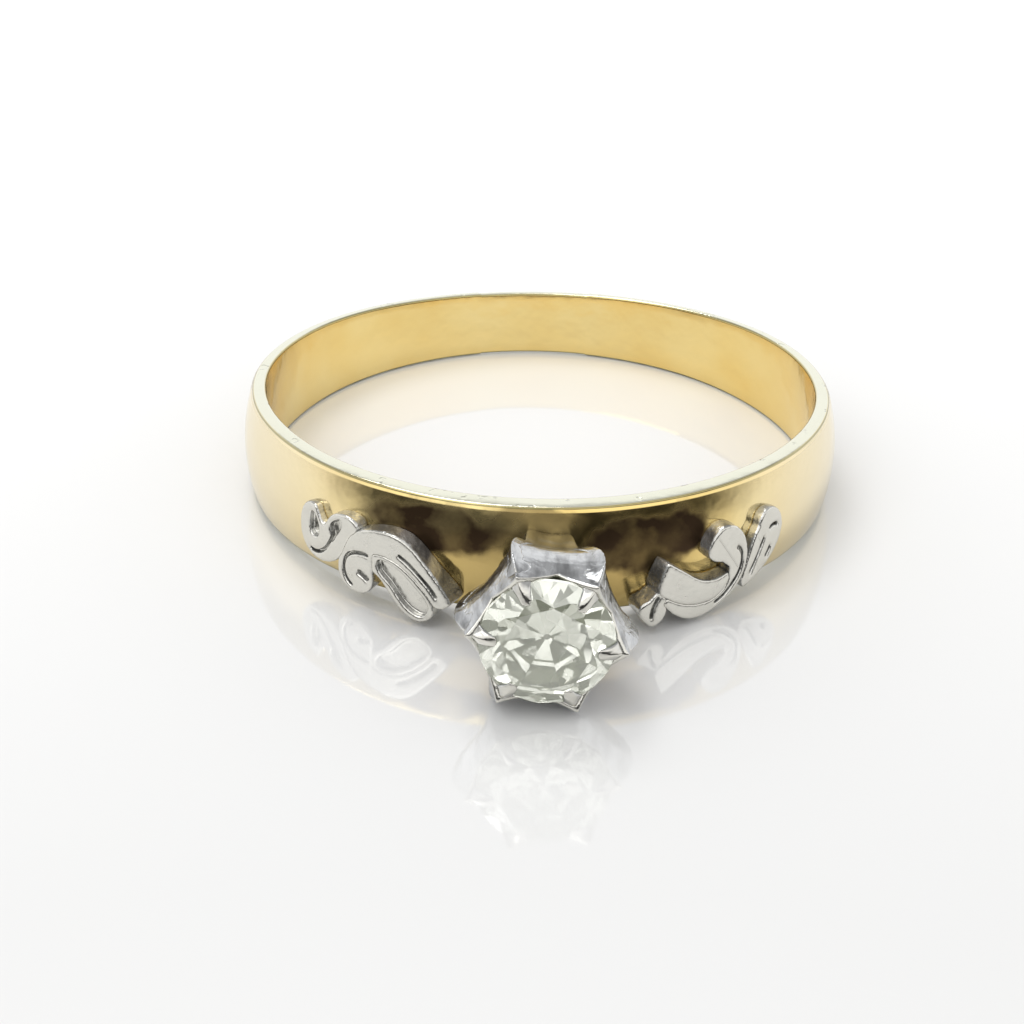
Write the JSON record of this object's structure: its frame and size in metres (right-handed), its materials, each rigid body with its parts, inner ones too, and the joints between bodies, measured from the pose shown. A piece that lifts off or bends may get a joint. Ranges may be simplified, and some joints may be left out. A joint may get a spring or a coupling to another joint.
{
  "type": "engagement ring",
  "caption": "Yellow gold finger ring with a white metal claw coronet holding a round diamond, between applied scroll shoulders.",
  "frame": {"origin": "centre of the finger hole, at mid width of the band", "axes": "+Z along the finger hole, +X across the ring to the right of someone facing the stone; the stone faces -Y"},
  "size_m": [0.0194, 0.0248, 0.005],
  "materials": {
    "yellow_gold": "polished, lightly worn",
    "white_metal": "polished, lightly worn",
    "diamond": "faceted and polished"
  },
  "bodies": {
    "root": {"shank": "yellow_gold", "sizing_insert": "yellow_gold", "coronet": "white_metal", "claw_1": "white_metal", "claw_2": "white_metal", "claw_3": "white_metal", "claw_4": "white_metal", "claw_5": "white_metal", "claw_6": "white_metal", "diamond": "diamond", "left_s_scroll": "white_metal", "left_c_scroll": "white_metal", "left_leaf": "white_metal", "right_s_scroll": "white_metal", "right_c_scroll": "white_metal", "right_leaf": "white_metal", "right_bud": "white_metal"}
  },
  "joints": []
}
